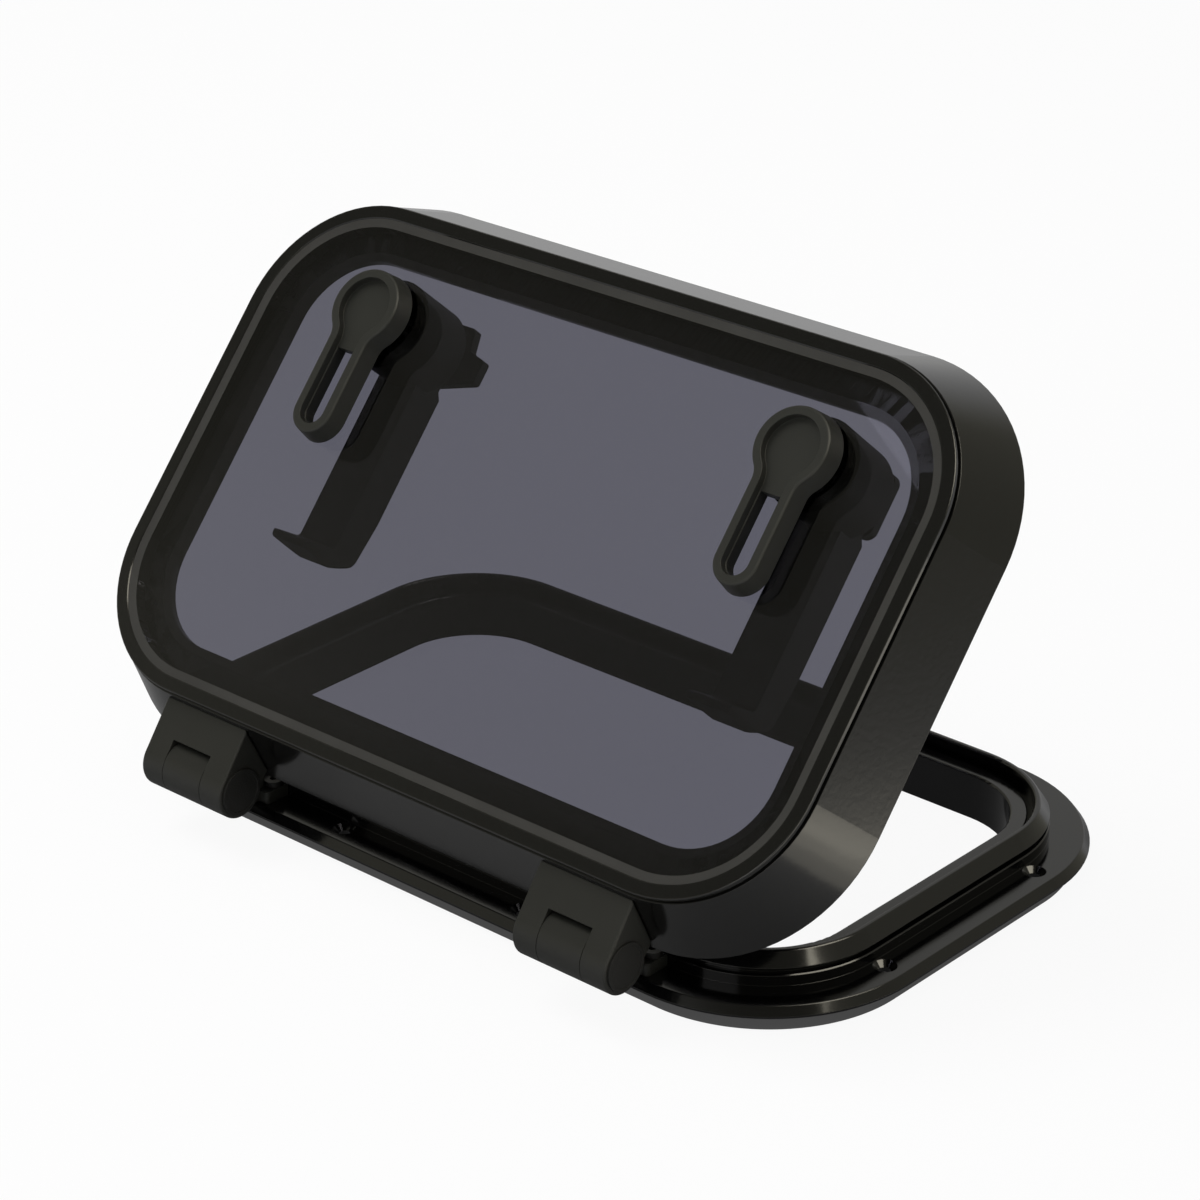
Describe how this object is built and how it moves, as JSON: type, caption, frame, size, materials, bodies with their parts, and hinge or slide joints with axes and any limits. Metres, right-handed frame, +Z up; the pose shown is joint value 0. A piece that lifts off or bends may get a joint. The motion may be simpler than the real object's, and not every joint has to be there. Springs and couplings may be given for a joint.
{
  "type": "ventilation deck hatch",
  "caption": "Low-profile marine deck hatch: rounded flanged base, tinted glazed lid held open on friction hinges, keyhole turn handles outside, levers with catches inside.",
  "frame": {"origin": "centre of the base frame outline, on the underside of the flange where it meets the deck", "axes": "+X along the hinges, +Y away from the hinges across the opening, +Z up out of the deck"},
  "size_m": [0.3522, 0.2418, 0.2074],
  "materials": {
    "base_coating": "gloss black powder coat on aluminium",
    "lid_coating": "semi-gloss black powder coat on aluminium",
    "panel_acrylic": "smoke-grey tinted sheet, polished",
    "sealant": "matte, slightly grainy",
    "rubber": "matte black",
    "handle_plastic": "fine matte black moulding",
    "hinge_plastic": "matte black moulding with faint flow marks",
    "bearing_plastic": "pale acetal",
    "stainless": "plain stainless steel"
  },
  "bodies": {
    "base": {"base_frame": "base_coating", "base_leaf_screws": "stainless", "hinge_base_leaf_left": "hinge_plastic", "hinge_base_leaf_right": "hinge_plastic", "hinge_friction_sleeve_left": "bearing_plastic", "hinge_friction_sleeve_right": "bearing_plastic"},
    "lid": {"lid_frame": "lid_coating", "panel": "panel_acrylic", "panel_sealant": "sealant", "lid_seal": "rubber", "hinge_pin_caps": "hinge_plastic", "lid_leaf_screws": "stainless", "hinge_lid_leaf_left": "hinge_plastic", "hinge_lid_leaf_right": "hinge_plastic", "hinge_pin_left": "stainless", "hinge_pin_right": "stainless", "panel_gasket_left": "rubber", "panel_gasket_right": "rubber", "panel_bush_left": "handle_plastic", "panel_bush_right": "handle_plastic", "bush_nut_left": "handle_plastic", "bush_nut_right": "handle_plastic"},
    "left_handle": {"outer_handle_left": "handle_plastic", "handle_spindle_left": "stainless", "spindle_oring_left": "rubber", "inner_handle_left": "handle_plastic", "inner_catch_left": "handle_plastic", "handle_washer_left": "stainless", "handle_screw_left": "stainless"},
    "right_handle": {"outer_handle_right": "handle_plastic", "handle_spindle_right": "stainless", "spindle_oring_right": "rubber", "inner_handle_right": "handle_plastic", "inner_catch_right": "handle_plastic", "handle_washer_right": "stainless", "handle_screw_right": "stainless"}
  },
  "joints": [
    {"name": "lid_hinge", "type": "hinge", "parent": "base", "child": "lid", "pos_m": [0, -0.1231, 0.0191], "axis": [1, 0, 0], "range_deg": [-49.3, 60.7]},
    {"name": "left_handle_turn", "type": "hinge", "parent": "lid", "child": "left_handle", "pos_m": [-0.1015, -0.0166, 0.1673], "axis": [0, -0.7581, 0.6521], "range_deg": [0, 90]},
    {"name": "right_handle_turn", "type": "hinge", "parent": "lid", "child": "right_handle", "pos_m": [0.1015, -0.0166, 0.1673], "axis": [0, -0.7581, 0.6521], "range_deg": [-90, 0]}
  ]
}
